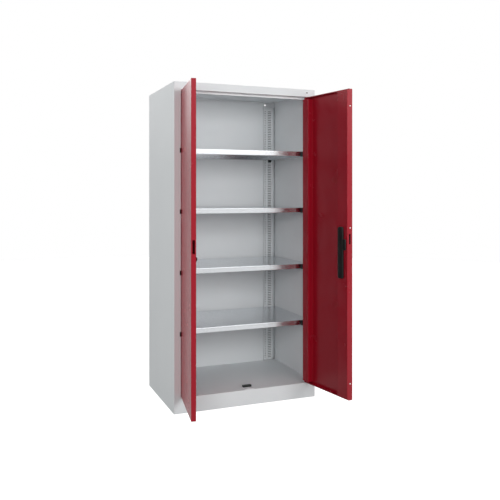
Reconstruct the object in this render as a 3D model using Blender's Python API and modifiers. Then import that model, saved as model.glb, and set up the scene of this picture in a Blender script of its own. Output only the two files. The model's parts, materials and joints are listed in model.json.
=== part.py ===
"""Two-door steel cabinet for flammable goods: a folded carcass, four zinc-plated shelves on clips,
two pan doors on pin hinges, and a three-point lock with a turning lever in the right door.

Metres, +Z up, front towards -Y. The origin is on the floor under the middle of the front plinth.
The doors stand open by DOOR_OPEN degrees, and each hangs from an empty on its hinge axis. Door pieces
are laid out on the closed door: u runs from the hinge axis towards the meeting edge, and v runs out
of the cabinet, from the same axis.
"""

import math

import bmesh
import bpy

# Carcass
WIDTH = 0.930
DEPTH = 0.600
HEIGHT = 1.950
SHEET = 0.001  # thickness of every folded sheet
GAP = 0.0003  # clearance between pieces that touch
FOLD_RADIUS = 0.0015
FRONT = -0.012  # the front plane, half a plinth foot ahead of the origin
BACK = FRONT + DEPTH
INSIDE_X = WIDTH / 2 - SHEET - 2 * GAP  # half width of what fits between the side skins

POST_WIDTH = 0.0415  # the side panels' front return
POST_DEPTH = 0.042
REAR_RETURN = 0.024
HEADER_BOTTOM = 1.904
STOP_DEPTH = 0.043  # the header's door stop, behind the front plane
STOP_DROP = 0.012
FLOOR_TOP = 0.0935
PLINTH_FOOT = 0.024
PAN_FLANGE = 0.015
BACK_RECESS = 0.012
WALL_HOLE_X = 0.385
WALL_HOLE_Z = 1.926
WALL_HOLE_RADIUS = 0.006

# Shelves, their rails and clips
SHELF_PITCH = 0.360
SHELF_TOPS = [0.481 + SHELF_PITCH * level for level in range(4)]
SHELF_HEIGHT = 0.030
SHELF_FRONT = 0.0545  # behind the front plane, and behind the lock cover of the closed door
SHELF_BACK = 0.5770
SHELF_LIP = 0.012
RAIL_REAR_FACE = 0.5782
RAIL_X = 0.4075  # the front rails' inner fold
REAR_RAIL_X = (0.3725, 0.437)  # the rear rails' flat between its folds
REAR_RAIL_TOP = 1.912  # below the wall-fixing holes
CLIP_X = (0.3985, 0.4067)
REAR_CLIP_X = (0.404, 0.424)

# Doors and hinges
DOOR_OPEN = 99.6
AXIS_X = 0.4165
AXIS_Y = FRONT + 0.0075
DOOR_EDGE = 0.004  # the hinge axis lies this far inside the door's hinge edge and its outer face
DOOR_LEAD = 0.4145  # u of the meeting edge
DOOR_THICK = 0.027
DOOR_INSIDE = DOOR_EDGE - DOOR_THICK  # v of the lips' inner face
DOOR_LIP = 0.020
DOOR_END_LIP = 0.0055  # the lips along the top and the bottom
LEFT_LEAD_LIP = 0.084
RIGHT_LEAD_LIP = 0.0065  # clear of the latch, whose link passes it
DOOR_BOTTOM = 0.0975
DOOR_TOP = 1.899
HINGE_HEIGHTS = [0.466, 0.826, 1.186, 1.546]
HINGE_HALF = 0.0135
HINGE_RADIUS = 0.004
HINGE_NOTCH_U = 0.010
HINGE_LEAF_X = 0.430

# Lock
LEFT_SLOT_Z = (0.976, 1.048)
RIGHT_SLOT_Z = (0.9995, 1.059)
LEFT_SLOT_V = (-0.0165, -0.0025)
RIGHT_SLOT_V = (-0.0215, -0.0105)
TONGUE_V = (-0.0160, -0.0115)
ROD_V = -0.0145
LOCK_CHANNEL_U = 0.328
HINGE_CHANNEL_U = 0.050
CHANNEL_FOOT = 0.012
CHANNEL_RISE = 0.0115  # how far the channels stand above the lips
CHANNEL_FACE = DOOR_INSIDE - CHANNEL_RISE
HINGE_CHANNEL_INSET = 0.014  # from the ends of the door
LOCK_CHANNEL_INSET = DOOR_END_LIP + 2 * GAP
ROD_U = 0.398
ROD_RADIUS = 0.004
SPINDLE_U = 0.362
SPINDLE_Z = 1.024
SPINDLE_HALF = 0.004
CAM_V = -0.0225
CAM_THICK = 0.003
CAM_ARM = 0.0127  # the rod pins' distance from the spindle
CAM_ARM_LATCH = 0.0085
PIN_RADIUS = 0.0025
PIN_PLAY = 0.0031  # half the height of a rod's fork
COVER_U = (0.338, 0.384)
COVER_Z = (0.797, 1.099)
COVER_RISE = 0.0105
NOSE_Z = (0.963, 1.028)
CYLINDER_Z = 0.850
KEEPER_X = AXIS_X - ROD_U

FINISHES = {  # base colour, roughness, metallic
    "grey_paint": ((0.60, 0.62, 0.62), 0.42, 0.0),
    "red_paint": ((0.32, 0.016, 0.026), 0.32, 0.0),
    "zinc": ((0.72, 0.74, 0.76), 0.28, 1.0),
    "black_plastic": ((0.012, 0.012, 0.013), 0.45, 0.0),
    "steel": ((0.45, 0.45, 0.46), 0.35, 1.0),
    "rubber": ((0.015, 0.015, 0.015), 0.8, 0.0),
}


def clear_scene():
    for obj in list(bpy.data.objects):
        bpy.data.objects.remove(obj, do_unlink=True)


def new_collection(name):
    collection = bpy.data.collections.new(name)
    bpy.context.scene.collection.children.link(collection)
    return collection


def make_material(name, colour, roughness, metallic):
    material = bpy.data.materials.new(name)
    material.use_nodes = True
    shader = material.node_tree.nodes["Principled BSDF"]
    shader.inputs["Base Color"].default_value = (*colour, 1.0)
    shader.inputs["Roughness"].default_value = roughness
    shader.inputs["Metallic"].default_value = metallic
    return material


clear_scene()
CABINET = new_collection("flammable_storage_cabinet")
CUTTERS = new_collection("cutters")
MATERIALS = {name: make_material(name, *values) for name, values in FINISHES.items()}


# Building blocks


def add_part(name, data, finish, parent=None):
    part = bpy.data.objects.new(name, data)
    data.materials.append(MATERIALS[finish])
    part.parent = parent
    CABINET.objects.link(part)
    return part


def mesh_from(bm, name):
    mesh = bpy.data.meshes.new(name)
    bm.to_mesh(mesh)
    bm.free()
    return mesh


def cube_between(low, high):
    """A bmesh box with these opposite corners, given in any order."""
    corners = [sorted(pair) for pair in zip(low, high)]
    bm = bmesh.new()
    bmesh.ops.create_cube(bm, size=1.0)
    bmesh.ops.scale(bm, vec=[b - a for a, b in corners], verts=bm.verts)
    bmesh.ops.translate(bm, vec=[(a + b) / 2 for a, b in corners], verts=bm.verts)
    return bm


def add_bevel(part, width, segments=2):
    bevel = part.modifiers.new("edges", "BEVEL")
    bevel.width = width
    bevel.segments = segments
    bevel.limit_method = "ANGLE"


def add_box(name, finish, low, high, parent=None, bevel=0.0):
    part = add_part(name, mesh_from(cube_between(low, high), name), finish, parent)
    if bevel:
        add_bevel(part, bevel)
    return part


def folded_sheet(name, finish, profile, axis, span, parent=None):
    """A sheet folded along a profile, given at mid-thickness, and drawn out along X or Z."""
    bm = bmesh.new()
    if axis == "Z":
        points = [(a, b, span[0]) for a, b in profile]
        travel = (0, 0, span[1] - span[0])
    else:
        points = [(span[0], a, b) for a, b in profile]
        travel = (span[1] - span[0], 0, 0)
    verts = [bm.verts.new(point) for point in points]
    edges = [bm.edges.new(pair) for pair in zip(verts, verts[1:])]
    drawn = bmesh.ops.extrude_edge_only(bm, edges=edges)["geom"]
    moved = [item for item in drawn if isinstance(item, bmesh.types.BMVert)]
    bmesh.ops.translate(bm, vec=travel, verts=moved)
    part = add_part(name, mesh_from(bm, name), finish, parent)
    add_bevel(part, FOLD_RADIUS)
    solidify(part, SHEET, 0.0)
    return part


def solidify(part, thickness, offset):
    shell = part.modifiers.new("sheet", "SOLIDIFY")
    shell.thickness = thickness
    shell.offset = offset
    shell.use_even_offset = True


def fold_in(bm, across, place, travel):
    """Folds the lip whose free edge stands at this place on one axis back into the pan."""
    borders = [edge for edge in bm.edges if edge.is_boundary]
    edge = next(edge for edge in borders if all(abs(v.co[across] - place) < 1e-6 for v in edge.verts))
    drawn = bmesh.ops.extrude_edge_only(bm, edges=[edge])["geom"]
    moved = [item for item in drawn if isinstance(item, bmesh.types.BMVert)]
    bmesh.ops.translate(bm, vec=travel, verts=moved)


def pan(name, finish, low, high, opening, lips=None, parent=None, thickness=SHEET, fold=None):
    """A pan folded from sheet: five sides of a box, open towards one axis direction.

    lips gives the widths of the returns around the opening: low and high side of its first axis,
    then of its second. fold gives a lip that is folded once more: its axis, edge and travel.
    """
    axis = "XYZ".index(opening[1])
    sign = 1 if opening[0] == "+" else -1
    bm = cube_between(low, high)
    face = next(f for f in bm.faces if f.normal[axis] * sign > 0.9)
    if lips:
        bmesh.ops.inset_region(bm, faces=[face], thickness=0.001)
        across = [i for i in range(3) if i != axis]
        for place, i in enumerate(across):
            near, far = sorted((low[i], high[i]))
            middle = (near + far) / 2
            for vert in face.verts:
                low_side = vert.co[i] < middle
                width = lips[2 * place + (0 if low_side else 1)]
                vert.co[i] = near + width if low_side else far - width
    bmesh.ops.delete(bm, geom=[face], context="FACES_ONLY")
    if fold:
        fold_in(bm, *fold)
    part = add_part(name, mesh_from(bm, name), finish, parent)
    add_bevel(part, FOLD_RADIUS)
    solidify(part, thickness, -1.0)
    return part


def cylinder_mesh(name, radius, length, sides=24):
    bm = bmesh.new()
    bmesh.ops.create_cone(bm, cap_ends=True, segments=sides, radius1=radius, radius2=radius, depth=length)
    mesh = mesh_from(bm, name)
    mesh.shade_smooth()
    mesh.set_sharp_from_angle(angle=math.radians(35))
    return mesh


def add_cylinder(name, finish, centre, radius, length, tilt=(0, 0, 0), parent=None, sides=24):
    part = add_part(name, cylinder_mesh(name, radius, length, sides), finish, parent)
    part.location = centre
    part.rotation_euler = tilt
    return part


def as_cutter(part):
    CABINET.objects.unlink(part)
    CUTTERS.objects.link(part)
    part.hide_render = True
    part.display_type = "WIRE"
    return part


def combine(target, other, operation):
    boolean = target.modifiers.new(other.name, "BOOLEAN")
    boolean.operation = operation
    boolean.solver = "EXACT"
    boolean.object = as_cutter(other)


def cut_box(target, low, high, parent=None):
    name = f"cut_{target.name}_{len(target.modifiers)}"
    combine(target, add_box(name, "steel", low, high, parent), "DIFFERENCE")


def cut_bore(target, centre, radius, length, tilt=(0, 0, 0), parent=None):
    name = f"bore_{target.name}_{len(target.modifiers)}"
    combine(target, add_cylinder(name, "steel", centre, radius, length, tilt, parent), "DIFFERENCE")


def add_outline(name, finish, points, thickness, location, tilt, parent=None):
    """A flat plate cut to an outline, centred on its location through its thickness."""
    curve = bpy.data.curves.new(name, "CURVE")
    curve.dimensions = "2D"
    curve.fill_mode = "BOTH"
    curve.extrude = thickness / 2
    spline = curve.splines.new("POLY")
    spline.points.add(len(points) - 1)
    for point, (a, b) in zip(spline.points, points):
        point.co = (a, b, 0, 1)
    spline.use_cyclic_u = True
    part = add_part(name, curve, finish, parent)
    part.location = location
    part.rotation_euler = tilt
    return part


# Carcass


def side_panel(side, name):
    """A side skin folded round into the front post and the rear return, notched for what it meets."""
    skin = side * (WIDTH / 2 - SHEET / 2)
    post = side * (WIDTH / 2 - POST_WIDTH + SHEET / 2)
    profile = [
        (post, FRONT + POST_DEPTH),
        (post, FRONT + SHEET / 2),
        (skin, FRONT + SHEET / 2),
        (skin, BACK - SHEET / 2),
        (skin - side * REAR_RETURN, BACK - SHEET / 2),
    ]
    panel = folded_sheet(name, "grey_paint", profile, "Z", (0, HEIGHT))
    reach = (side * 0.410, FRONT - 0.010)
    ends = ((HEADER_BOTTOM - GAP, HEIGHT + 0.010), (-0.010, FLOOR_TOP + GAP))
    for low_z, high_z in ends:
        cut_box(panel, (*reach, low_z), (side * INSIDE_X, FRONT + POST_DEPTH + 0.005, high_z))
    for height in HINGE_HEIGHTS:
        low = (side * 0.419, FRONT - 0.010, height - HINGE_HALF - 0.001)
        cut_box(panel, low, (side * (HINGE_LEAF_X + GAP), FRONT + 0.020, height + HINGE_HALF + 0.001))


def header_beam():
    face_y = FRONT + SHEET / 2
    stop_y = FRONT + STOP_DEPTH + SHEET / 2
    under_z = HEADER_BOTTOM + SHEET / 2
    profile = [
        (face_y, HEIGHT),
        (face_y, under_z),
        (stop_y, under_z),
        (stop_y, HEADER_BOTTOM - STOP_DROP),
    ]
    header = folded_sheet("header_beam", "grey_paint", profile, "X", (-INSIDE_X, INSIDE_X))
    cut_bore(header, (KEEPER_X, AXIS_Y - ROD_V, HEADER_BOTTOM), ROD_RADIUS + 0.001, 0.010)


def plinth_front():
    face_y = FRONT + SHEET / 2
    profile = [(face_y, FLOOR_TOP), (face_y, SHEET / 2), (FRONT + PLINTH_FOOT, SHEET / 2)]
    folded_sheet("plinth_front", "grey_paint", profile, "X", (-INSIDE_X, INSIDE_X))


def carcass_pans():
    behind_face = FRONT + SHEET + GAP
    low_back = BACK - SHEET - GAP
    pan(
        "top_panel",
        "grey_paint",
        (-INSIDE_X, behind_face, HEIGHT - PAN_FLANGE),
        (INSIDE_X, low_back, HEIGHT),
        "-Z",
    )
    floor = pan(
        "floor_panel",
        "grey_paint",
        (-INSIDE_X, behind_face, FLOOR_TOP - PAN_FLANGE),
        (INSIDE_X, BACK - BACK_RECESS - GAP, FLOOR_TOP),
        "-Z",
    )
    cut_bore(floor, (KEEPER_X, AXIS_Y - ROD_V, FLOOR_TOP), ROD_RADIUS + 0.001, 0.010)
    back = pan(
        "back_panel",
        "grey_paint",
        (-INSIDE_X, BACK - BACK_RECESS, 0),
        (INSIDE_X, low_back, HEIGHT - PAN_FLANGE - GAP),
        "+Y",
    )
    for side in (-1, 1):
        centre = (side * WALL_HOLE_X, BACK - BACK_RECESS, WALL_HOLE_Z)
        cut_bore(back, centre, WALL_HOLE_RADIUS, 0.010, (math.pi / 2, 0, 0))


def shelf_rails(side, word):
    """The perforated uprights that the clips hook into, two on each side."""
    rear_y = FRONT + RAIL_REAR_FACE + SHEET / 2
    wall_y = BACK - BACK_RECESS - GAP
    inner, outer = (side * x for x in REAR_RAIL_X)
    side_x = side * (INSIDE_X - 0.001)
    rear = [(inner, wall_y), (inner, rear_y), (outer, rear_y), (side_x, wall_y - SHEET / 2)]
    folded_sheet(f"shelf_rail_rear_{word}", "grey_paint", rear, "Z", (FLOOR_TOP + 0.001, REAR_RAIL_TOP))
    front_y = FRONT + POST_DEPTH + 0.002
    face_y = FRONT + SHELF_FRONT - 0.0007
    fold = side * RAIL_X
    front = [(side * 0.4215, front_y), (fold, front_y), (fold, face_y), (side_x, face_y)]
    span = (FLOOR_TOP + 0.001, HEADER_BOTTOM - STOP_DROP - 0.002)
    folded_sheet(f"shelf_rail_front_{word}", "grey_paint", front, "Z", span)


def shelf(level):
    top = SHELF_TOPS[level]
    half = INSIDE_X - 0.001
    low = (-half, FRONT + SHELF_FRONT, top - SHELF_HEIGHT)
    high = (half, FRONT + SHELF_BACK, top)
    pan(f"shelf_{level + 1}", "zinc", low, high, "-Z", (SHELF_LIP,) * 4)


def shelf_clips(level, side, word):
    """A hook round the front lip's end and a bracket under the rear lip."""
    top = SHELF_TOPS[level]
    under = top - SHELF_HEIGHT
    lip_y = FRONT + SHELF_FRONT - 2 * GAP
    hook_y = FRONT + POST_DEPTH + 0.002
    foot = under - 0.0025
    outline = [
        (hook_y, foot),
        (lip_y + 0.018, foot),
        (lip_y + 0.018, under - GAP),
        (lip_y, under - GAP),
        (lip_y, top - 0.001),
        (hook_y, top - 0.001),
    ]
    middle = side * (CLIP_X[0] + CLIP_X[1]) / 2
    turn = (math.pi / 2, 0, math.pi / 2)
    name = f"clip_{level + 1}_front_{word}"
    add_outline(name, "black_plastic", outline, CLIP_X[1] - CLIP_X[0], (middle, 0, 0), turn)
    face = FRONT + RAIL_REAR_FACE - GAP
    bracket = [
        (face, under - 0.018),
        (face, under - GAP),
        (face - 0.017, under - GAP),
        (face - 0.017, under - 0.005),
    ]
    middle = side * (REAR_CLIP_X[0] + REAR_CLIP_X[1]) / 2
    name = f"clip_{level + 1}_rear_{word}"
    add_outline(name, "black_plastic", bracket, REAR_CLIP_X[1] - REAR_CLIP_X[0], (middle, 0, 0), turn)


def hinges(side, word):
    """Fixed hinge halves: a leaf set in the post's notch, with the pin barrel on the door's axis."""
    for number, height in enumerate(HINGE_HEIGHTS, 1):
        low = (side * AXIS_X, FRONT + GAP, height - HINGE_HALF)
        high = (side * HINGE_LEAF_X, FRONT + 0.012, height + HINGE_HALF)
        hinge = add_box(f"hinge_{word}_{number}", "black_plastic", low, high)
        centre = (side * AXIS_X, AXIS_Y, height)
        barrel = add_cylinder(f"barrel_{word}_{number}", "steel", centre, HINGE_RADIUS, 2 * HINGE_HALF)
        combine(hinge, barrel, "UNION")


def keepers():
    """The plates that the lock's rods enter, on the floor and under the header."""
    low_x = KEEPER_X - 0.029
    high_x = KEEPER_X + 0.029
    rod_y = AXIS_Y - ROD_V
    base_top = FLOOR_TOP + 0.0028
    floor_keeper = add_box(
        "floor_keeper",
        "black_plastic",
        (low_x, FRONT + 0.008, FLOOR_TOP + GAP),
        (high_x, FRONT + 0.068, base_top),
    )
    stop = add_box(
        "floor_keeper_stop",
        "black_plastic",
        (low_x, FRONT + 0.0440, FLOOR_TOP + GAP + 0.0005),
        (high_x, FRONT + 0.0640, base_top + 0.011),
    )
    combine(floor_keeper, stop, "UNION")
    cut_bore(floor_keeper, (KEEPER_X, rod_y, base_top), ROD_RADIUS + 0.001, 0.010)
    header_keeper = add_box(
        "header_keeper",
        "grey_paint",
        (low_x, FRONT + 0.008, HEADER_BOTTOM - 0.0023),
        (high_x, FRONT + 0.034, HEADER_BOTTOM - GAP),
    )
    cut_bore(header_keeper, (KEEPER_X, rod_y, HEADER_BOTTOM), ROD_RADIUS + 0.001, 0.010)


def badge():
    centre = (0.408, FRONT - 0.0008, 1.9295)
    plate = add_cylinder("badge_plate", "steel", centre, 0.0045, 0.001, (math.pi / 2, 0, 0))
    plate.scale = (1.7, 1.0, 1.0)


# Doors


def door_pivot(side, word):
    """An empty on the hinge axis, turned to where the door stands open."""
    pivot = bpy.data.objects.new(f"pivot_{word}", None)
    pivot.location = (side * AXIS_X, AXIS_Y, 0)
    pivot.rotation_euler = (0, 0, side * math.radians(DOOR_OPEN))
    CABINET.objects.link(pivot)
    return pivot


def on_door(side, u, v, z):
    """A point of the closed door, in the frame of its pivot."""
    return (-side * u, -v, z)


def door_pan(side, word, pivot, lead_lip, fold=None):
    """The door's folded pan, open inwards between its lips, and notched round its hinges."""
    low = on_door(side, -DOOR_EDGE, DOOR_EDGE, DOOR_BOTTOM)
    high = on_door(side, DOOR_LEAD, DOOR_INSIDE, DOOR_TOP)
    across = (DOOR_LIP, lead_lip) if side < 0 else (lead_lip, DOOR_LIP)
    lips = (*across, DOOR_END_LIP, DOOR_END_LIP)
    door = pan(f"door_{word}", "red_paint", low, high, "+Y", lips, pivot, fold=fold)
    for height in HINGE_HEIGHTS:
        low = on_door(side, -0.010, 0.010, height - HINGE_HALF - 0.001)
        high = on_door(side, HINGE_NOTCH_U, -0.008, height + HINGE_HALF + 0.001)
        cut_box(door, low, high, pivot)
    slot_v, slot_z = (LEFT_SLOT_V, LEFT_SLOT_Z) if side < 0 else (RIGHT_SLOT_V, RIGHT_SLOT_Z)
    low = on_door(side, DOOR_LEAD - 0.004, slot_v[0], slot_z[0])
    high = on_door(side, DOOR_LEAD + 0.004, slot_v[1], slot_z[1])
    cut_box(door, low, high, pivot)
    return door


def door_channel(name, side, pivot, edge_u, wall_u, inset):
    """A folded stiffener along one edge of the door, from the lip over to a foot on the outer skin."""
    face = CHANNEL_FACE + SHEET / 2
    skin = DOOR_EDGE - 1.5 * SHEET - GAP
    foot_u = wall_u + math.copysign(CHANNEL_FOOT, wall_u - edge_u)
    corners = [
        (edge_u, DOOR_INSIDE - 1.5 * GAP),
        (edge_u, face),
        (wall_u, face),
        (wall_u, skin),
        (foot_u, skin),
    ]
    profile = [on_door(side, u, v, 0)[:2] for u, v in corners]
    span = (DOOR_BOTTOM + inset, DOOR_TOP - inset)
    return folded_sheet(name, "red_paint", profile, "Z", span, pivot)


def hinge_channel(side, word, pivot):
    edge_u = SHEET / 2 - DOOR_EDGE
    door_channel(f"hinge_channel_{word}", side, pivot, edge_u, HINGE_CHANNEL_U, HINGE_CHANNEL_INSET)


def left_door():
    side = -1
    pivot = door_pivot(side, "left")
    lip_edge = DOOR_LEAD - LEFT_LEAD_LIP
    to_skin = DOOR_THICK - SHEET - GAP
    door_pan(side, "left", pivot, LEFT_LEAD_LIP, (0, lip_edge, (0, -to_skin, 0)))
    hinge_channel(side, "left", pivot)
    centre = on_door(side, 0.396, DOOR_INSIDE - GAP - 0.0035, 0.9466)
    turn = (math.pi / 2, 0, 0)
    add_cylinder("left_door_buffer", "rubber", centre, 0.012, 0.007, turn, pivot)


def right_door():
    side = 1
    pivot = door_pivot(side, "right")
    door = door_pan(side, "right", pivot, RIGHT_LEAD_LIP)
    turn = (math.pi / 2, 0, 0)
    for z in (DOOR_BOTTOM, DOOR_TOP):
        cut_bore(door, on_door(side, ROD_U, ROD_V, z), ROD_RADIUS + 0.001, 0.010, (0, 0, 0), pivot)
    skin = on_door(side, SPINDLE_U, DOOR_EDGE, SPINDLE_Z)
    cut_bore(door, skin, 0.009, 0.010, turn, pivot)
    cut_bore(door, on_door(side, SPINDLE_U, DOOR_EDGE, CYLINDER_Z), 0.0088, 0.010, turn, pivot)
    hinge_channel(side, "right", pivot)
    door_channel("lock_channel", side, pivot, DOOR_LEAD - SHEET / 2, LOCK_CHANNEL_U, LOCK_CHANNEL_INSET)
    lock_cover(side, pivot)
    lock_outside(side, pivot)
    lock_inside(side, pivot)
    rods(side, pivot)


def lock_cover(side, pivot):
    """The hollow cap over the lock, with a nose towards the latch slot."""
    base_v = CHANNEL_FACE - GAP
    low = on_door(side, COVER_U[0], base_v, COVER_Z[0])
    high = on_door(side, COVER_U[1], base_v - COVER_RISE, COVER_Z[1])
    cover = pan("lock_cover", "black_plastic", low, high, "-Y", None, pivot, 0.002)
    cover.modifiers["edges"].width = 0.003
    nose = add_box(
        "lock_cover_nose",
        "black_plastic",
        on_door(side, COVER_U[1] - 0.0015, base_v, NOSE_Z[0]),
        on_door(side, 0.404, base_v - 0.008, NOSE_Z[1]),
        pivot,
        0.002,
    )
    combine(cover, nose, "UNION")


def lock_outside(side, pivot):
    """The escutcheon, the lever on its square spindle, and the key cylinder."""
    turn = (math.pi / 2, 0, 0)
    plate_v = DOOR_EDGE + GAP
    plate = add_box(
        "handle_plate",
        "black_plastic",
        on_door(side, COVER_U[0] + 0.002, plate_v, COVER_Z[0]),
        on_door(side, COVER_U[1], plate_v + 0.006, COVER_Z[1]),
        pivot,
        0.002,
    )
    cut_bore(plate, on_door(side, SPINDLE_U, plate_v, SPINDLE_Z), 0.0085, 0.030, turn, pivot)
    cut_bore(plate, on_door(side, SPINDLE_U, plate_v, CYLINDER_Z), 0.0088, 0.030, turn, pivot)
    lever_v = plate_v + 0.006 + GAP
    hub = on_door(side, SPINDLE_U, lever_v + 0.008, SPINDLE_Z)
    lever = add_cylinder("handle_lever", "black_plastic", hub, 0.017, 0.016, turn, pivot, 32)
    arm = add_box(
        "handle_arm",
        "black_plastic",
        on_door(side, SPINDLE_U - 0.130, lever_v + 0.004, SPINDLE_Z - 0.011),
        on_door(side, SPINDLE_U, lever_v + 0.0155, SPINDLE_Z + 0.011),
        pivot,
        0.004,
    )
    combine(lever, arm, "UNION")
    add_box(
        "handle_spindle",
        "steel",
        on_door(side, SPINDLE_U - SPINDLE_HALF, CAM_V - 0.0065, SPINDLE_Z - SPINDLE_HALF),
        on_door(side, SPINDLE_U + SPINDLE_HALF, lever_v - GAP, SPINDLE_Z + SPINDLE_HALF),
        pivot,
    )
    centre = on_door(side, SPINDLE_U, 0.0, CYLINDER_Z)
    cylinder = add_cylinder("lock_cylinder", "steel", centre, 0.008, 0.024, turn, pivot)
    keyway = on_door(side, SPINDLE_U - 0.001, 0.008, CYLINDER_Z - 0.004)
    cut_box(cylinder, keyway, on_door(side, SPINDLE_U + 0.001, 0.020, CYLINDER_Z + 0.004), pivot)


def cam_point(radius, degrees):
    """u and z of a point on the cam at rest, from the angle above the line to the meeting edge."""
    angle = math.radians(degrees)
    return SPINDLE_U + radius * math.cos(angle), SPINDLE_Z + radius * math.sin(angle)


def lock_inside(side, pivot):
    """The mounting plate on the door skin, and the cam with its pins for the rods and the latch."""
    turn = (math.pi / 2, 0, 0)
    skin_v = DOOR_EDGE - SHEET - GAP
    plate = add_box(
        "lock_case_plate",
        "steel",
        on_door(side, 0.345, skin_v - 0.002, 0.955),
        on_door(side, 0.409, skin_v, COVER_Z[1]),
        pivot,
    )
    cut_bore(plate, on_door(side, SPINDLE_U, skin_v, SPINDLE_Z), 0.0085, 0.020, turn, pivot)
    cam_centre = on_door(side, SPINDLE_U, CAM_V, SPINDLE_Z)
    cam = add_cylinder("lock_cam", "steel", cam_centre, 0.018, CAM_THICK, turn, pivot, 32)
    pins = (
        ("upper", CAM_ARM, -45, CAM_V + 0.0055),
        ("lower", CAM_ARM, 135, CAM_V + 0.0055),
        ("latch", CAM_ARM_LATCH, 225, CAM_V - 0.0025),
    )
    for word, radius, degrees, v in pins:
        u, z = cam_point(radius, degrees)
        size = (PIN_RADIUS, 0.010) if radius == CAM_ARM else (0.002, 0.0065)
        pin = add_cylinder(f"cam_pin_{word}", "steel", on_door(side, u, v, z), *size, turn, pivot, 16)
        combine(cam, pin, "UNION")
    half = SPINDLE_HALF + GAP
    low = on_door(side, SPINDLE_U - half, CAM_V - 0.010, SPINDLE_Z - half)
    cut_box(cam, low, on_door(side, SPINDLE_U + half, CAM_V + 0.018, SPINDLE_Z + half), pivot)
    latch(side, pivot)


def latch(side, pivot):
    """The tongue behind the slot, with a fork that the cam's latch pin moves."""
    tongue = add_box(
        "latch_tongue",
        "steel",
        on_door(side, 0.3895, TONGUE_V[0], 1.003),
        on_door(side, DOOR_LEAD - 0.0017, TONGUE_V[1], 1.044),
        pivot,
    )
    pin_u = cam_point(CAM_ARM_LATCH, 225)[0]
    fork_z = (1.009, 1.0192)
    tail = add_box(
        "latch_tail",
        "steel",
        on_door(side, pin_u - 0.008, CAM_V - 0.0050, fork_z[0]),
        on_door(side, 0.3945, CAM_V - 0.0027, fork_z[1]),
        pivot,
    )
    link = add_box(
        "latch_link",
        "steel",
        on_door(side, 0.3905, CAM_V - 0.0045, fork_z[0] + 0.001),
        on_door(side, 0.3940, TONGUE_V[1] - 0.001, fork_z[1] - 0.001),
        pivot,
    )
    combine(tongue, link, "UNION")
    combine(tongue, tail, "UNION")
    low = on_door(side, pin_u - 0.0025, CAM_V - 0.0105, fork_z[0] + 0.0030)
    cut_box(tongue, low, on_door(side, pin_u + 0.0025, CAM_V + 0.0015, fork_z[1] + 0.010), pivot)


def rods(side, pivot):
    """Two round rods that the cam moves by forks, and the guides that they run in."""
    upper_pin = cam_point(CAM_ARM, -45)
    lower_pin = cam_point(CAM_ARM, 135)
    layout = (
        ("upper", (1.066, DOOR_TOP - 0.006), 1.799, (0.3682, 0.3815), upper_pin),
        ("lower", (DOOR_BOTTOM + 0.006, 0.981), 0.194, (0.3425, 0.3558), lower_pin),
    )
    for word, (low_z, high_z), guide_z, arm_u, pin in layout:
        centre = on_door(side, ROD_U, ROD_V, (low_z + high_z) / 2)
        rod = add_cylinder(f"rod_{word}", "steel", centre, ROD_RADIUS, high_z - low_z, parent=pivot, sides=16)
        sign = 1 if word == "upper" else -1
        foot_z = low_z if word == "upper" else high_z
        foot = add_box(
            f"rod_foot_{word}",
            "steel",
            on_door(side, arm_u[0], ROD_V - 0.003, foot_z - 0.004),
            on_door(side, ROD_U, ROD_V + 0.003, foot_z + 0.004),
            pivot,
        )
        arm = add_box(
            f"rod_arm_{word}",
            "steel",
            on_door(side, arm_u[0], ROD_V - 0.003, pin[1] - sign * 0.007),
            on_door(side, arm_u[1], ROD_V + 0.003, foot_z),
            pivot,
        )
        combine(rod, foot, "UNION")
        combine(rod, arm, "UNION")
        open_u = arm_u[0] - 0.003 if word == "upper" else arm_u[1] + 0.003
        deep_u = pin[0] + (0.0067 if word == "upper" else -0.0067)
        low = on_door(side, open_u, ROD_V - 0.006, pin[1] - PIN_PLAY)
        cut_box(rod, low, on_door(side, deep_u, ROD_V + 0.006, pin[1] + PIN_PLAY), pivot)
        guide = add_box(
            f"rod_guide_{word}",
            "black_plastic",
            on_door(side, 0.390, ROD_V - 0.0070, guide_z - 0.010),
            on_door(side, DOOR_LEAD - SHEET - GAP, ROD_V + 0.0085, guide_z + 0.010),
            pivot,
        )
        bore = on_door(side, ROD_U, ROD_V, guide_z)
        cut_bore(guide, bore, ROD_RADIUS + 0.0006, 0.040, (0, 0, 0), pivot)


def build():
    for side, word in ((-1, "left"), (1, "right")):
        side_panel(side, f"side_panel_{word}")
        shelf_rails(side, word)
        hinges(side, word)
        for level in range(len(SHELF_TOPS)):
            shelf_clips(level, side, word)
    header_beam()
    plinth_front()
    carcass_pans()
    for level in range(len(SHELF_TOPS)):
        shelf(level)
    keepers()
    badge()
    left_door()
    right_door()


build()
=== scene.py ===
import json
import math

import bmesh
import bpy
from mathutils import Matrix, Vector


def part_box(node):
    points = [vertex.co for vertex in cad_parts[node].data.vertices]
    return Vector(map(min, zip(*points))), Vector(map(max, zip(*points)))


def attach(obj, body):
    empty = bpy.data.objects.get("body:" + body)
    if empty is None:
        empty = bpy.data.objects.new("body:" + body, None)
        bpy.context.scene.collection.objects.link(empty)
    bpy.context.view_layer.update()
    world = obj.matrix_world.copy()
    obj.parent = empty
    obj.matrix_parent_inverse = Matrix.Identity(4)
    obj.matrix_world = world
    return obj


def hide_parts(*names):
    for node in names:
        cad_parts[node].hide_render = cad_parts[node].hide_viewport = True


# The looks of a two-door steel storage cabinet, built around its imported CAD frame. Metres.
# Door pieces are placed by u (from the hinge axis to the meeting edge), v (out of the cabinet, when
# the door is closed) and z.

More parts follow.
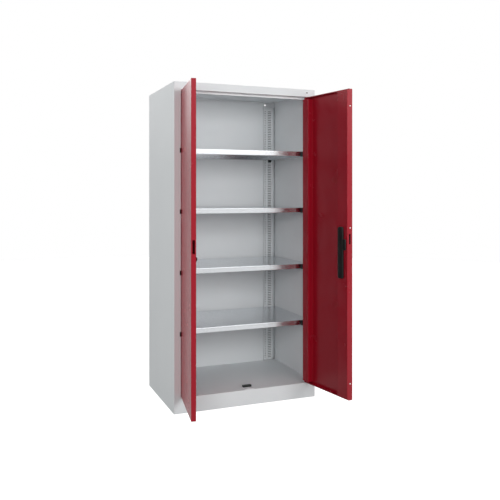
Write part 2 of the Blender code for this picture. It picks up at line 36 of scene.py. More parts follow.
UP = Vector((0, 0, 1))
SHEET = 0.001
WEAR_RADIUS = 0.0008  # of worn edges, less than the sheet's thickness, or thin sheets speckle
SLOT_PITCH = 0.0125
SLOT_HEIGHT = 0.0036
SLOT_COLUMNS = ((0.0060, 0.0140), (0.0305, 0.0570))  # from the rail's inner fold
SLOT_FREE_END = 0.020  # the rail's height without slots at each end
RAIL_FACE = 0.0640  # width of the rear rails' perforated face
SHADE_STRIP_INSET = 0.0035  # of the near-black strip behind the rail's slots, which paints shade into the rail's hollow
KNUCKLE_SPLIT = 0.0052  # half the height of a hinge's fixed knuckle
KNUCKLE_RADIUS = 0.0041
KNUCKLE_CHAMFER = 0.0004
SCREW_RISE = 0.0007  # low enough to clear the closed doors and the shelves
EDGE_RIVET_HEIGHTS = (1.799, 1.093, 0.194)
EDGE_RIVET_V = -0.013  # about the middle of the door's thickness
COVER_CAP_WIDTH = 0.046  # of the lock cover without its nose
COVER_NOSE = (0.963, 1.028)  # the nose's lowest and highest z
COVER_SCREW_INSET = 0.022
LEVER_LENGTH = 0.130
LEVER_STEPS = 12
CAMERA_PLACE = (-1.4975, -3.5407, 1.2985)  # y is taken from the side panels' front edge
CAMERA_TURN = -20.887  # degrees, towards the right
CAMERA_LENS = 45.31
CAMERA_SHIFT = (0.0498, -0.115)

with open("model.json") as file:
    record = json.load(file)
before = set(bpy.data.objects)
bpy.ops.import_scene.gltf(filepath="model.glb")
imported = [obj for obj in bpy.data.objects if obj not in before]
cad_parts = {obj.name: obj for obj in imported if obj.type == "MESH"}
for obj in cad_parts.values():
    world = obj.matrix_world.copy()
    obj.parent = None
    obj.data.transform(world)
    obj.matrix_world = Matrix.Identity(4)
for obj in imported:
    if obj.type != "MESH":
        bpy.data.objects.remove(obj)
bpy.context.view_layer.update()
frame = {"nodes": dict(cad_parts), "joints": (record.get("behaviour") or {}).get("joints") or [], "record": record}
nodes = frame["nodes"]
record = frame["record"]
joints = {joint["name"]: joint for joint in frame["joints"]}


# Node materials


def add_node(tree, kind, settings=None, **inputs):
    """A shader node with these settings and inputs, named or numbered (n0, n1), to set or link."""
    node = tree.nodes.new(kind)
    for key, value in (settings or {}).items():
        setattr(node, key, value)
    for key, value in inputs.items():
        numbered = key[0] == "n" and key[1:].isdigit()
        socket = node.inputs[int(key[1:]) if numbered else key.replace("_", " ")]
        if isinstance(value, bpy.types.NodeSocket):
            tree.links.new(value, socket)
        else:
            socket.default_value = value
    return node


def noise(tree, where, scale, detail):
    node = add_node(tree, "ShaderNodeTexNoise", Vector=where, Scale=scale, Detail=detail)
    return node.outputs["Fac"]


def spread(tree, value, low, high, to_low=0.0, to_high=1.0):
    """value stretched from low..high to to_low..to_high, and held there."""
    return add_node(
        tree, "ShaderNodeMapRange", {"clamp": True}, n0=value, n1=low, n2=high, n3=to_low, n4=to_high
    ).outputs[0]


def combine(tree, operation, a, b):
    return add_node(tree, "ShaderNodeMath", {"operation": operation}, n0=a, n1=b).outputs[0]


def multiply(tree, a, b):
    return combine(tree, "MULTIPLY", a, b)


def mix_colour(tree, factor, a, b):
    node = add_node(tree, "ShaderNodeMix", {"data_type": "RGBA"}, n0=factor)
    for index, value in ((6, a), (7, b)):
        if isinstance(value, bpy.types.NodeSocket):
            tree.links.new(value, node.inputs[index])
        else:
            node.inputs[index].default_value = (*value, 1.0)
    return node.outputs[2]


def edge_mask(tree):
    """1 on sharp outer edges, 0 on flat faces."""
    rounded = add_node(tree, "ShaderNodeBevel", {"samples": 4}, Radius=WEAR_RADIUS).outputs["Normal"]
    flat = add_node(tree, "ShaderNodeNewGeometry").outputs["Normal"]
    dot = add_node(tree, "ShaderNodeVectorMath", {"operation": "DOT_PRODUCT"}, n0=rounded, n1=flat)
    return spread(tree, dot.outputs["Value"], 0.985, 0.93)


def start_material(name, **sockets):
    material = bpy.data.materials.new(name)
    material.use_nodes = True
    tree = material.node_tree
    shader = tree.nodes["Principled BSDF"]
    for key, value in sockets.items():
        shader.inputs[key.replace("_", " ")].default_value = value
    place = tree.nodes.new("ShaderNodeTexCoord").outputs["Object"]
    return material, tree, shader, place


def bump(tree, shader, height, distance, strength):
    node = add_node(tree, "ShaderNodeBump", Height=height, Distance=distance, Strength=strength)
    tree.links.new(node.outputs["Normal"], shader.inputs["Normal"])


def powder_coat(name, light, dark, worn, roughness):
    """Baked powder paint: slow shade changes, orange peel, and paler wear along the edges."""
    material, tree, shader, place = start_material(name, IOR=1.47, Specular_IOR_Level=0.37)
    shade = spread(tree, noise(tree, place, 2.3, 3.0), 0.3, 0.7)
    base = mix_colour(tree, shade, light, dark)
    flecks = spread(tree, noise(tree, place, 1400.0, 1.0), 0.35, 0.75, 0.0, 0.10)
    base = mix_colour(tree, flecks, base, dark)
    patches = spread(tree, noise(tree, place, 55.0, 4.0), 0.42, 0.66)
    wear = multiply(tree, edge_mask(tree), patches)
    base = mix_colour(tree, multiply(tree, wear, 0.55), base, worn)
    tree.links.new(base, shader.inputs["Base Color"])
    smears = spread(tree, noise(tree, place, 9.0, 5.0), 0.3, 0.7, roughness - 0.012, roughness + 0.016)
    tree.links.new(smears, shader.inputs["Roughness"])
    bump(tree, shader, noise(tree, place, 520.0, 2.0), 0.00018, 0.025)
    return material


def galvanised(name):
    """Bright zinc-plated sheet: faint spangle, rolling lines, duller edges, and painted shade that darkens the
    undersides.
    """
    material, tree, shader, place = start_material(name, Metallic=1.0)
    spangle = add_node(tree, "ShaderNodeTexVoronoi", Vector=place, Scale=75.0).outputs["Color"]
    cells = add_node(tree, "ShaderNodeSeparateColor", Color=spangle).outputs[0]
    stretched = add_node(tree, "ShaderNodeMapping", Vector=place, Scale=(3.0, 260.0, 260.0)).outputs[0]
    lines = noise(tree, stretched, 1.0, 3.0)
    shade = spread(tree, cells, 0.0, 1.0, 0.0, 0.5)
    base = mix_colour(tree, shade, (0.80, 0.82, 0.84), (0.70, 0.73, 0.76))
    base = mix_colour(tree, spread(tree, lines, 0.3, 0.7, 0.0, 0.25), base, (0.62, 0.65, 0.68))
    patches = spread(tree, noise(tree, place, 80.0, 3.0), 0.4, 0.6)
    edges = multiply(tree, edge_mask(tree), patches)
    base = mix_colour(tree, multiply(tree, edges, 0.5), base, (0.52, 0.54, 0.56))
    # Painted shade: faces that point down are mixed towards a darker zinc.
    normal = add_node(tree, "ShaderNodeNewGeometry").outputs["Normal"]
    upward = add_node(tree, "ShaderNodeSeparateXYZ", Vector=normal).outputs["Z"]
    base = mix_colour(tree, spread(tree, upward, -0.6, -0.9), base, (0.50, 0.53, 0.56))
    tree.links.new(base, shader.inputs["Base Color"])
    tree.links.new(spread(tree, cells, 0.0, 1.0, 0.17, 0.25), shader.inputs["Roughness"])
    bump(tree, shader, lines, 0.00006, 0.10)
    return material


def moulded(name, base, edge, roughness, grain_scale, grain):
    """Moulded plastic or rubber: fine grain, soft smears, and edges rubbed paler."""
    material, tree, shader, place = start_material(name, IOR=1.46, Specular_IOR_Level=0.33)
    shade = spread(tree, noise(tree, place, 40.0, 3.0), 0.3, 0.7)
    colour = mix_colour(tree, shade, base, tuple(1.35 * part for part in base))
    rubbed = multiply(tree, edge_mask(tree), 0.6)
    tree.links.new(mix_colour(tree, rubbed, colour, edge), shader.inputs["Base Color"])
    smears = spread(tree, noise(tree, place, 25.0, 4.0), 0.3, 0.7, roughness - 0.05, roughness + 0.07)
    tree.links.new(smears, shader.inputs["Roughness"])
    bump(tree, shader, noise(tree, place, grain_scale, 1.0), 0.0002, grain)
    return material


def plated_steel(name, yellowish, bluish, rubbed_to):
    """Plated or blued steel: fine brushing, and a tint that changes in patches."""
    material, tree, shader, place = start_material(name, Metallic=1.0, Anisotropic=0.3)
    tint = spread(tree, noise(tree, place, 30.0, 2.0), 0.35, 0.65)
    base = mix_colour(tree, tint, yellowish, bluish)
    rubbed = multiply(tree, edge_mask(tree), 0.5)
    tree.links.new(mix_colour(tree, rubbed, base, rubbed_to), shader.inputs["Base Color"])
    stretched = add_node(tree, "ShaderNodeMapping", Vector=place, Scale=(900.0, 900.0, 60.0)).outputs[0]
    brushing = noise(tree, stretched, 1.0, 2.0)
    tree.links.new(spread(tree, brushing, 0.3, 0.7, 0.24, 0.40), shader.inputs["Roughness"])
    bump(tree, shader, brushing, 0.00005, 0.2)
    return material


HIDDEN_STEEL = (  # blued, and made near-black as painted shade, so that what shows through the door's edge slot is dark
    "latch_tongue",
    "lock_cam",
    "lock_case_plate",
    "rod_lower",
    "rod_upper",
    "handle_spindle",
)
MATERIALS = {
    "grey_paint": powder_coat(
        "grey_paint", (0.820, 0.850, 0.862), (0.790, 0.822, 0.836), (0.88, 0.89, 0.89), 0.44
    ),
    "red_paint": powder_coat(
        "red_paint", (0.365, 0.0070, 0.0200), (0.335, 0.0062, 0.0180), (0.46, 0.03, 0.04), 0.26
    ),
    "zinc": galvanised("zinc"),
    "black_plastic": moulded(
        "black_plastic", (0.0062, 0.0076, 0.0072), (0.022, 0.024, 0.024), 0.42, 1500.0, 0.25
    ),
    "steel": plated_steel("steel", (0.62, 0.61, 0.57), (0.55, 0.57, 0.60), (0.78, 0.78, 0.78)),
    # Near-black blued steel: a real finish for the screws, and painted shade on the hidden parts and on the rails'
    # shade strips.
    "blued_steel_and_shade": plated_steel(
        "blued_steel_and_shade", (0.021, 0.018, 0.018), (0.015, 0.016, 0.019), (0.08, 0.08, 0.09)
    ),
    "rubber": moulded("rubber", (0.012, 0.012, 0.012), (0.03, 0.03, 0.03), 0.78, 900.0, 0.4),
}


def paint_frame():
    """Every CAD node gets its slot's material, except the hidden steel, which gets near-black steel as painted
    shade; moulded ones get softened edges.
    """
    for part in record["subparts"]:
        node = nodes[part["node"]]
        finish = "blued_steel_and_shade" if part["node"] in HIDDEN_STEEL else part["material_slot"]
        node.data.materials.clear()
        node.data.materials.append(MATERIALS[finish])
        if part["material_slot"] == "black_plastic":
            soften(node, 0.0007)


def soften(obj, width):
    bevel = obj.modifiers.new("soft_edges", "BEVEL")
    bevel.width = width
    bevel.segments = 2
    bevel.limit_method = "ANGLE"
    bevel.harden_normals = True


# Making and placing pieces


def facing(point, normal):
    """The matrix that stands a piece at a point with its z along the normal and its y upwards."""
    normal = Vector(normal).normalized()
    across = UP.cross(normal).normalized()
    matrix = Matrix((across, normal.cross(across), normal)).transposed().to_4x4()
    matrix.translation = point
    return matrix


def finish_piece(bm, name, slot, body, matrix=None, replaces=()):
    """Turns a bmesh into a smooth-shaded piece in its place, riding on a body."""
    bmesh.ops.recalc_face_normals(bm, faces=bm.faces)
    mesh = bpy.data.meshes.new(name)
    bm.to_mesh(mesh)
    bm.free()
    mesh.shade_smooth()
    mesh.set_sharp_from_angle(angle=math.radians(32))
    mesh.materials.append(MATERIALS[slot])
    piece = bpy.data.objects.new(name, mesh)
    bpy.context.scene.collection.objects.link(piece)
    if matrix:
        piece.matrix_world = matrix
    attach(piece, body)
    if replaces:
        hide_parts(*replaces)
    return piece


def loft_into(bm, rings):
    """Skins a row of rings, each a list of points, and closes both ends."""
    loops = [[bm.verts.new(point) for point in ring] for ring in rings]
    count = len(loops[0])
    for low, high in zip(loops, loops[1:]):
        for i in range(count):
            j = (i + 1) % count
            bm.faces.new((low[i], low[j], high[j], high[i]))
    bm.faces.new(loops[0])
    bm.faces.new(loops[-1])


def rounded(half_a, half_b, radius, steps=5):
    """The outline of a rectangle with rounded corners."""
    radius = min(radius, half_a, half_b)
    points = []
    for quarter in range(4):
        side_a = 1 if quarter in (0, 3) else -1
        side_b = 1 if quarter < 2 else -1
        for step in range(steps + 1):
            angle = math.pi / 2 * (quarter + step / steps)
            a = side_a * (half_a - radius) + radius * math.cos(angle)
            b = side_b * (half_b - radius) + radius * math.sin(angle)
            points.append((a, b))
    return points


def slab_into(bm, centre, half, radius, levels):
    """A moulded plate: a rounded outline at each (height, inset) level."""
    rings = []
    for height, inset in levels:
        outline = rounded(half[0] - inset, half[1] - inset, max(radius - inset, 0.0004))
        rings.append([(centre[0] + a, centre[1] + b, height) for a, b in outline])
    loft_into(bm, rings)


def turn_into(bm, profile, sides):
    """A turned piece from (radius, height) pairs."""
    angles = [2 * math.pi * i / sides for i in range(sides)]
    rings = []
    for radius, height in profile:
        rings.append([(radius * math.cos(t), radius * math.sin(t), height) for t in angles])
    loft_into(bm, rings)


def turned(name, slot, body, matrix, profile, sides, replaces=()):
    bm = bmesh.new()
    turn_into(bm, profile, sides)
    return finish_piece(bm, name, slot, body, matrix, replaces)


def cut_away(piece, bm, matrix):
    """Cuts a bmesh's shape, placed by a matrix, out of a piece for good."""
    bmesh.ops.recalc_face_normals(bm, faces=bm.faces)
    shape = bpy.data.meshes.new("tool")
    bm.to_mesh(shape)
    bm.free()
    tool = bpy.data.objects.new("tool", shape)
    bpy.context.scene.collection.objects.link(tool)
    tool.matrix_world = matrix
    cut = piece.modifiers.new("cut", "BOOLEAN")
    cut.solver = "EXACT"
    cut.operation = "DIFFERENCE"
    cut.object = tool
    bpy.context.view_layer.update()
    result = piece.evaluated_get(bpy.context.evaluated_depsgraph_get())
    mesh = bpy.data.meshes.new_from_object(result)
    piece.modifiers.clear()
    piece.data = mesh
    bpy.data.objects.remove(tool)


def cross_screw(name, slot, body, matrix, radius):
    """A low raised-head screw with a cross recess."""
    outline = ((1, 0), (1, 0.35), (0.86, 0.7), (0.5, 0.94), (0.05, 1))
    profile = [(radius * wide, SCREW_RISE * tall) for wide, tall in outline]
    head = turned(name, slot, body, matrix, profile, 20)
    arm, half = 0.55 * radius, 0.12 * radius
    quarter = [(arm, -half), (arm, half), (half, half)]
    cross = []
    for _ in range(4):
        cross += quarter
        quarter = [(-y, x) for x, y in quarter]
    bm = bmesh.new()
    loft_into(bm, [[(x, y, SCREW_RISE * tall) for x, y in cross] for tall in (0.4, 1.5)])
    cut_away(head, bm, matrix)


def rivet(name, body, matrix, radius, slot):
    """A blind rivet's domed head, with the dimple of its drawn pin."""
    profile = [(radius, -0.0002), (radius, 0.0003), (0.8 * radius, 0.0009), (0.45 * radius, 0.0012)]
    profile += [(0.38 * radius, 0.0008), (0.05 * radius, 0.0007)]
    turned(name, slot, body, matrix, profile, 20)


# Doors


def swing(side):
    """The joint of the left (-1) or right (1) door."""
    return joints["right_door_swing" if side > 0 else "left_door_swing"]


def door_matrix(side):
    """From a closed door with its hinge axis at x = y = 0 to the door as it stands open at rest."""
    x, y, _ = swing(side)["pos_m"]
    opened = math.radians(max(abs(angle) for angle in swing(side)["range_deg"]))
    return Matrix.Translation((x, y, 0)) @ Matrix.Rotation(side * opened, 4, "Z")


def door_point(side, u, v, z):
    return door_matrix(side) @ Vector((-side * u, -v, z))


def door_out(side):
    """The direction of +v on the standing-open door."""
    return door_matrix(side).to_3x3() @ Vector((0, -1, 0))


def door_along(side):
    """The direction of +u on the standing-open door."""
    return door_matrix(side).to_3x3() @ Vector((-side, 0, 0))


def door_box(side, node):
    """A CAD node's lowest and highest (u, v, z) on its door."""
    back = door_matrix(side).inverted()
    points = [back @ vert.co for vert in nodes[node].data.vertices]
    spots = [(-side * p.x, -p.y, p.z) for p in points]
    return [Vector(pick(axis) for axis in zip(*spots)) for pick in (min, max)]


def lock_cover():
    """A moulded cap with rounded corners, a nose towards the latch, a seam and two screws."""
    low, high = door_box(1, "lock_cover")
    cap_right = low.x + COVER_CAP_WIDTH
    centre_u = (low.x + cap_right) / 2
    centre_z = (low.z + high.z) / 2
    rise = high.y - low.y
    half = ((cap_right - low.x) / 2, (high.z - low.z) / 2)
    matrix = facing(door_point(1, centre_u, high.y, centre_z), -door_out(1))
    bm = bmesh.new()
    base = [(0, 0), (0.42, 0.0003), (0.46, 0.0010), (0.52, 0.0010), (0.56, 0.0004)]
    crown = [(0.72, 0.0009), (0.9, 0.0026), (1, 0.0052)]
    slab_into(bm, (0, 0), half, 0.014, [(rise * share, inset) for share, inset in base + crown])
    panel = (half[0] - 0.009, half[1] - 0.014)
    levels = [(rise * 0.9, 0), (rise - 0.0001, 0.0002), (rise + 0.0002, 0.001)]
    slab_into(bm, (0, 0), panel, 0.006, levels)
    nose_low, nose_high = COVER_NOSE
    nose_half = ((high.x - cap_right + 0.012) / 2, (nose_high - nose_low) / 2)
    nose_centre = (high.x - nose_half[0] - centre_u, (nose_low + nose_high) / 2 - centre_z)
    levels = [(0, 0), (rise * 0.5, 0.0004), (rise * 0.68, 0.0014), (rise * 0.76, 0.0034)]
    slab_into(bm, nose_centre, nose_half, 0.008, levels)
    finish_piece(bm, "lock_cover_shell", "black_plastic", "right_door", matrix, ("lock_cover",))
    reach = half[1] - COVER_SCREW_INSET
    for number, b in enumerate((-reach, reach)):
        spot = matrix @ Matrix.Translation((0, b, rise + 0.0001))
        cross_screw(f"lock_cover_screw_{number}", "blued_steel_and_shade", "right_door", spot, 0.0034)


def escutcheon():
    """The blank plate on the outside of the right door."""
    low, high = door_box(1, "handle_plate")
    middle = door_point(1, (low.x + high.x) / 2, low.y, (low.z + high.z) / 2)
    half = ((high.x - low.x) / 2, (high.z - low.z) / 2)
    rise = high.y - low.y
    bm = bmesh.new()
    levels = [(0, 0), (rise * 0.5, 0.0003), (rise * 0.8, 0.0010), (rise, 0.0030)]
    slab_into(bm, (0, 0), half, 0.010, levels)
    matrix = facing(middle, door_out(1))
    finish_piece(bm, "escutcheon", "black_plastic", "right_door", matrix, ("handle_plate",))


def turning_lever():
    """A round hub and a tapering arm with a slight crown."""
    low, high = door_box(1, "handle_lever")
    hub = Vector(joints["handle_turn"]["pos_m"])
    on_axis = hub + door_out(1) * (low.y - ((hub - door_point(1, 0, 0, 0)).dot(door_out(1))))
    depth = high.y - low.y
    bm = bmesh.new()
    profile = [(0.0160, 0), (0.0170, 0.0012), (0.0170, depth * 0.62), (0.0160, depth * 0.86)]
    turn_into(bm, profile + [(0.0125, depth), (0.0010, depth)], 40)
    rings = []
    for step in range(LEVER_STEPS + 1):
        t = step / LEVER_STEPS
        crown = math.sin(math.pi * t)
        tall = 0.0106 - 0.0028 * t + 0.0012 * crown
        thick = 0.0052 - 0.0012 * t
        if step == LEVER_STEPS:
            tall, thick = tall * 0.62, thick * 0.62
        middle = depth * 0.58 + 0.0010 * crown
        outline = rounded(tall, thick, 0.0042, 4)
        rings.append([(LEVER_LENGTH * t, b, middle + h) for b, h in outline])
    loft_into(bm, rings)
    matrix = facing(on_axis, door_out(1))
    finish_piece(bm, "turning_lever", "black_plastic", "handle", matrix, ("handle_lever",))


def key_cylinder():
    """The cylinder's rose on the door, and its turning plug with a keyway."""
    key = Vector(joints["key_turn"]["pos_m"])
    face = door_box(1, "lock_cylinder")[1].y
    matrix = facing(key + door_out(1) * (face - 0.0030), door_out(1))
    profile = [(0.0118, 0), (0.0118, 0.0008), (0.0108, 0.0018), (0.0092, 0.0020), (0.0092, 0.0002)]
    turned("cylinder_rose", "steel", "right_door", matrix, profile, 36)
    matrix = facing(key, door_out(1))
    profile = [(0.0078, -0.012), (0.0078, face - 0.0006), (0.0070, face), (0.0008, face)]
    plug = turned("cylinder_plug", "steel", "key_cylinder", matrix, profile, 32, ("lock_cylinder",))
    bm = bmesh.new()
    keyway = bmesh.ops.create_cube(bm, size=1.0)["verts"]
    bmesh.ops.scale(bm, vec=(0.0018, 0.0084, 0.006), verts=keyway)
    bmesh.ops.translate(bm, vec=(0, 0, face), verts=keyway)
    cut_away(plug, bm, matrix)


def door_rivets():
    """The bright rivets of the rod guides and the latch, on the right door's lead edge."""
    lead = door_box(1, "door_right")[1].x
    for number, z in enumerate(EDGE_RIVET_HEIGHTS):
        spot = facing(door_point(1, lead, EDGE_RIVET_V, z), door_along(1))
        rivet(f"edge_rivet_{number}", "right_door", spot, 0.0040, "steel")


def buffer():
    """The rubber buffer on the left door, with a dimple in its face."""
    low, high = door_box(-1, "left_door_buffer")
    radius = (high.x - low.x) / 2
    rise = high.y - low.y
    spot = door_point(-1, (low.x + high.x) / 2, high.y, (low.z + high.z) / 2)
    outline = ((0.92, 0), (1, 0.15), (1, 0.6), (0.9, 0.85), (0.7, 1), (0.35, 0.98), (0.3, 0.7))
    profile = [(radius * wide, rise * tall) for wide, tall in outline] + [(0.0004, rise * 0.7)]
    matrix = facing(spot, -door_out(-1))
    turned("rubber_buffer", "rubber", "left_door", matrix, profile, 32, ("left_door_buffer",))


# Carcass


def folded(name, slot, plan, levels, is_open=None, replaces=()):
    """A sheet folded along a plan of (x, y) corners, with a hole wherever is_open(row, column)."""
    bm = bmesh.new()
    grid = [[bm.verts.new((x, y, z)) for x, y in plan] for z in levels]
    for row, (lower, upper) in enumerate(zip(grid, grid[1:])):
        for column in range(len(plan) - 1):
            if is_open and is_open(row, column):
                continue
            bm.faces.new((lower[column], lower[column + 1], upper[column + 1], upper[column]))
    sheet = finish_piece(bm, name, slot, "carcass", None, replaces)
    shell = sheet.modifiers.new("sheet", "SOLIDIFY")
    shell.thickness = SHEET
    shell.offset = 0.0


def rear_rail(side, word):
    """The perforated upright, with two columns of slots for the clips, and a near-black strip in its hollow that
    paints the shade behind the slots.
    """
    node = f"shelf_rail_rear_{word}"
    low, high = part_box(node)
    inner, outer = (low.x, high.x) if side > 0 else (high.x, low.x)
    inner += side * SHEET / 2
    outer -= side * SHEET / 2
    front = low.y + SHEET / 2
    wall = high.y - SHEET / 2
    across = [0.0, *(edge for column in SLOT_COLUMNS for edge in column), RAIL_FACE]
    plan = [(inner, wall), *((inner + side * a, front) for a in across), (outer, wall)]
    first = low.z + SLOT_FREE_END
    levels = [low.z]
    for row in range(int((high.z - SLOT_FREE_END - first) / SLOT_PITCH)):
        start = first + row * SLOT_PITCH
        levels += [start, start + SLOT_HEIGHT]
    levels.append(high.z)
    slotted = {2 + 2 * k for k in range(len(SLOT_COLUMNS))}
    folded(
        f"perforated_rail_{word}",
        "grey_paint",
        plan,
        levels,
        lambda row, column: row % 2 == 1 and column in slotted,
        (node,),
    )
    # Painted shade: a near-black sheet a little behind the slots, so that the slots look dark.
    near, far = inner + side * SHADE_STRIP_INSET, inner + side * (RAIL_FACE - SHADE_STRIP_INSET)
    back = front + SHADE_STRIP_INSET
    shade_strip = [(near, wall - SHEET), (near, back), (far, back), (far, wall - SHEET)]
    folded(f"rail_shade_strip_{word}", "blued_steel_and_shade", shade_strip, [low.z + 0.002, high.z - 0.002])


def knuckle(name, body, spot, half):
    """A short black cylinder with chamfered ends, half its height up and down from a spot."""
    inner = KNUCKLE_RADIUS - KNUCKLE_CHAMFER
    reach = half - KNUCKLE_CHAMFER
    profile = [(inner, -half), (KNUCKLE_RADIUS, -reach), (KNUCKLE_RADIUS, reach), (inner, half)]
    turned(name, "black_plastic", body, Matrix.Translation(spot), profile, 28)


def hinge(side, word, number):
    """A leaf and a fixed knuckle on the carcass, and two knuckles and a pin on the door."""
    node = f"hinge_{word}_{number}"
    low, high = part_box(node)
    x, y, _ = swing(side)["pos_m"]
    height = (low.z + high.z) / 2
    half = (high.z - low.z) / 2
    far = high.x if side > 0 else low.x
    knuckle(f"fixed_knuckle_{word}_{number}", "carcass", (x, y, height), KNUCKLE_SPLIT)
    bm = bmesh.new()
    leaf_half = (abs(far - x) / 2, half - 0.0005)
    levels = [(0, 0.0004), (0.0006, 0), (0.0080, 0), (0.0088, 0.0005)]
    slab_into(bm, (0, 0), leaf_half, 0.0025, levels)
    matrix = facing(((x + far) / 2, low.y + 0.0095, height), (0, -1, 0))
    finish_piece(bm, f"hinge_leaf_{word}_{number}", "black_plastic", "carcass", matrix, (node,))
    for end, level in ((-1, "lower"), (1, "upper")):
        middle = end * (KNUCKLE_SPLIT + half) / 2 + end * 0.0002
        name = f"door_knuckle_{word}_{number}_{level}"
        door_half = (half - KNUCKLE_SPLIT) / 2 - 0.0004
        knuckle(name, f"{word}_door", (x, y, height + middle), door_half)
    profile = [(0.0017, -half - 0.0004), (0.0021, -half), (0.0021, half), (0.0017, half + 0.0004)]
    spot = Matrix.Translation((x, y, height))
    turned(f"hinge_pin_{word}_{number}", "steel", f"{word}_door", spot, profile, 16)


def floor_keeper():
    """The lock's keeper: a bevelled plate with the rod's bore, a ribbed stop and two screws."""
    low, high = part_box("floor_keeper")
    centre = (low.x + high.x) / 2
    middle = (low.y + high.y) / 2
    rise = high.z - low.z
    stop_front = low.y + 0.036
    matrix = Matrix.Translation((centre, middle, low.z))
    half = ((high.x - low.x) / 2, (high.y - low.y) / 2)
    bm = bmesh.new()
    slab_into(bm, (0, 0), half, 0.004, [(0, 0), (0.0016, 0), (0.0025, 0.0010)])
    plate = finish_piece(bm, "keeper_plate", "grey_paint", "carcass", matrix, ("floor_keeper",))
    bm = bmesh.new()
    turn_into(bm, [(0.0052, -0.01), (0.0052, 0.01)], 28)
    cut_away(plate, bm, Matrix.Translation((centre, closed_rod_y(), low.z)))
    bm = bmesh.new()
    back = high.y - 0.004
    stop_centre = (0, (stop_front + back) / 2 - matrix.translation.y)
    stop_half = (half[0] - 0.0006, (back - stop_front) / 2)
    levels = [(0.0024, 0), (rise - 0.0022, 0.0002), (rise, 0.0016)]
    slab_into(bm, stop_centre, stop_half, 0.0022, levels)
    levels = [(0.0024, 0), (rise - 0.0026, 0.0002), (rise - 0.0016, 0.0006)]
    for rib in range(9):
        a = (rib - 4) * (2 * half[0] - 0.008) / 9
        slab_into(bm, (a, stop_front - matrix.translation.y), (0.0014, 0.0016), 0.0008, levels)
    finish_piece(bm, "keeper_stop", "black_plastic", "carcass", matrix)
    for sign, word in ((-1, "left"), (1, "right")):
        spot = Matrix.Translation((centre + sign * 0.021, low.y + 0.018, low.z + 0.0024))
        cross_screw(f"keeper_screw_{word}", "steel", "carcass", spot, 0.0030)


def closed_rod_y():
    """Where the lock's rods stand in y once the right door is closed."""
    high = door_box(1, "rod_upper")[1]
    back = door_matrix(1).inverted()
    points = [back @ vert.co for vert in nodes["rod_upper"].data.vertices]
    tip = [point.y for point in points if point.z > high.z - 0.02]
    return swing(1)["pos_m"][1] + sum(tip) / len(tip)


def badge():
    """A blank oval badge: a bright rim round a dark enamelled field."""
    low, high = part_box("badge_plate")
    centre = (low + high) / 2
    matrix = facing((centre.x, high.y, centre.z), (0, -1, 0))
    a, b = (high.x - low.x) / 2, (high.z - low.z) / 2
    angles = [math.pi * i / 24 for i in range(48)]

    def oval(scale, height):
        return [(a * scale * math.cos(t), b * scale * math.sin(t), height) for t in angles]

    bm = bmesh.new()
    rim = ((1, 0), (1, 0.0008), (0.93, 0.0012), (0.80, 0.0012), (0.76, 0.0009))
    loft_into(bm, [oval(scale, height) for scale, height in rim])
    finish_piece(bm, "badge_rim", "steel", "carcass", matrix, ("badge_plate",))
    bm = bmesh.new()
    loft_into(bm, [oval(0.76, 0.0006), oval(0.75, 0.0010), oval(0.5, 0.0013), oval(0.05, 0.0014)])
    finish_piece(bm, "badge_field", "black_plastic", "carcass", matrix)


def carcass_rivets():
    """Small painted heads along the header's stop lip and down the front rails."""
    low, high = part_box("header_beam")
    for number in range(7):
        x = low.x + 0.05 + (high.x - low.x - 0.1) * number / 6
        spot = facing((x, high.y, low.z + 0.006), (0, 1, 0))
        rivet(f"stop_weld_{number}", "carcass", spot, 0.0026, "grey_paint")
    for side, word in ((-1, "left"), (1, "right")):
        low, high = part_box(f"shelf_rail_front_{word}")
        x = low.x if side > 0 else high.x
        for number in range(4):
            z = low.z + 0.1 + (high.z - low.z - 0.2) * number / 3
            spot = facing((x, (low.y + high.y) / 2, z), (-side, 0, 0))
            rivet(f"rail_rivet_{word}_{number}", "carcass", spot, 0.0022, "grey_paint")


# Camera and studio


def camera():
    """The photo's view, fitted to the carcass corners."""
    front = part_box("side_panel_left")[0].y
    data = bpy.data.cameras.new("camera")
    data.lens = CAMERA_LENS
    data.shift_x, data.shift_y = CAMERA_SHIFT
    cam = bpy.data.objects.new("camera", data)
    x, y, z = CAMERA_PLACE
    cam.location = (x, front + y, z)
    cam.rotation_euler = (math.radians(90), 0, math.radians(CAMERA_TURN))
    bpy.context.scene.collection.objects.link(cam)
    bpy.context.scene.camera = cam


SKY = 0.23  # how bright the surround is to matt surfaces: above, and below
GROUND = 0.15
SHEEN_GROUND = 0.60  # what glossy surfaces mirror: below, at the horizon, and above
SHEEN_HORIZON = 0.58
SHEEN_SKY = 2.15
SOFTBOXES = {  # place, aim, size, watts
    "front": ((1.15, -4.0, 1.8), (0.0, 0.4, 0.8), (2.4, 1.8), 84.0),
    "front_left": ((-2.3, -3.8, 1.8), (0.3, 0.3, 0.9), (1.8, 1.6), 62.0),
    "left": ((-4.2, 1.2, 1.8), (-0.45, 0.3, 1.0), (3.0, 2.6), 50.0),
}


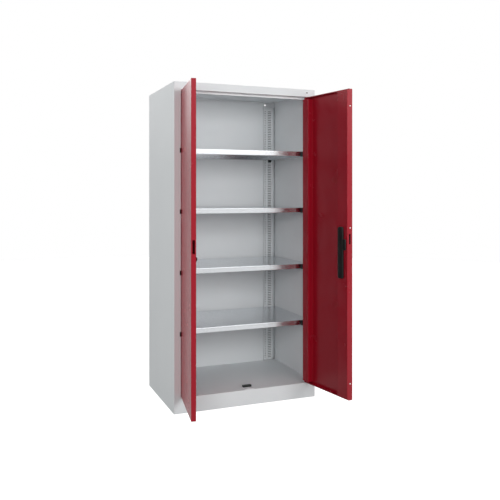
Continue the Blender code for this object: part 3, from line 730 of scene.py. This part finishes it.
def surround():
    """A world that is white to the camera, dim to matt surfaces and brighter to glossy ones."""
    world = bpy.data.worlds.new("studio")
    world.use_nodes = True
    tree = world.node_tree
    path = tree.nodes.new("ShaderNodeLightPath").outputs
    direction = tree.nodes.new("ShaderNodeTexCoord").outputs["Generated"]
    parts = add_node(tree, "ShaderNodeSeparateXYZ", Vector=direction).outputs
    matt = spread(tree, parts["Z"], -0.25, 0.35, GROUND, SKY)
    low = spread(tree, parts["Z"], -0.20, 0.0, SHEEN_GROUND, SHEEN_HORIZON)
    high = spread(tree, parts["Z"], 0.05, 0.18, 0.0, SHEEN_SKY - SHEEN_HORIZON)
    sideways = spread(tree, parts["X"], -0.8, 0.8, 0.6, 1.7)
    sheen = multiply(tree, combine(tree, "ADD", low, high), sideways)
    dome = combine(tree, "MAXIMUM", matt, multiply(tree, sheen, path["Is Glossy Ray"]))
    strength = combine(tree, "MAXIMUM", dome, path["Is Camera Ray"])
    background = tree.nodes["Background"]
    background.inputs["Color"].default_value = (1, 1, 1, 1)
    tree.links.new(strength, background.inputs["Strength"])
    bpy.context.scene.world = world
    bpy.context.scene.view_settings.view_transform = "Standard"


def lamps():
    """Three softboxes, which glossy surfaces don't mirror."""
    for name, (place, aim, size, watts) in SOFTBOXES.items():
        data = bpy.data.lights.new(name, "AREA")
        data.shape = "RECTANGLE"
        data.size, data.size_y = size
        data.energy = watts
        lamp = bpy.data.objects.new(name, data)
        lamp.location = place
        lamp.visible_glossy = False
        aimed = (Vector(aim) - Vector(place)).to_track_quat("-Z", "Y")
        lamp.rotation_euler = aimed.to_euler()
        bpy.context.scene.collection.objects.link(lamp)


def pale_floor():
    """A round floor that glows, so that it is as white as the photo's, and lights nothing."""
    bm = bmesh.new()
    bmesh.ops.create_circle(bm, cap_ends=True, segments=96, radius=9.0)
    mesh = bpy.data.meshes.new("floor")
    bm.to_mesh(mesh)
    bm.free()
    material, tree, shader, place = start_material(
        "pale_floor", Roughness=0.9, Emission_Color=(1, 1, 1, 1), Emission_Strength=0.80
    )
    tone = spread(tree, noise(tree, place, 1.5, 2.0), 0.3, 0.7)
    colour = mix_colour(tree, tone, (0.93, 0.93, 0.93), (0.90, 0.90, 0.90))
    tree.links.new(colour, shader.inputs["Base Color"])
    mesh.materials.append(material)
    floor = bpy.data.objects.new("floor", mesh)
    floor.location.z = -0.0005
    floor.visible_diffuse = False
    floor.visible_glossy = False
    bpy.context.scene.collection.objects.link(floor)


camera()
surround()
lamps()
pale_floor()
paint_frame()
for side, word in ((-1, "left"), (1, "right")):
    rear_rail(side, word)
    for number in range(1, 5):
        hinge(side, word, number)
lock_cover()
escutcheon()
turning_lever()
key_cylinder()
door_rivets()
buffer()
floor_keeper()
badge()
carcass_rivets()
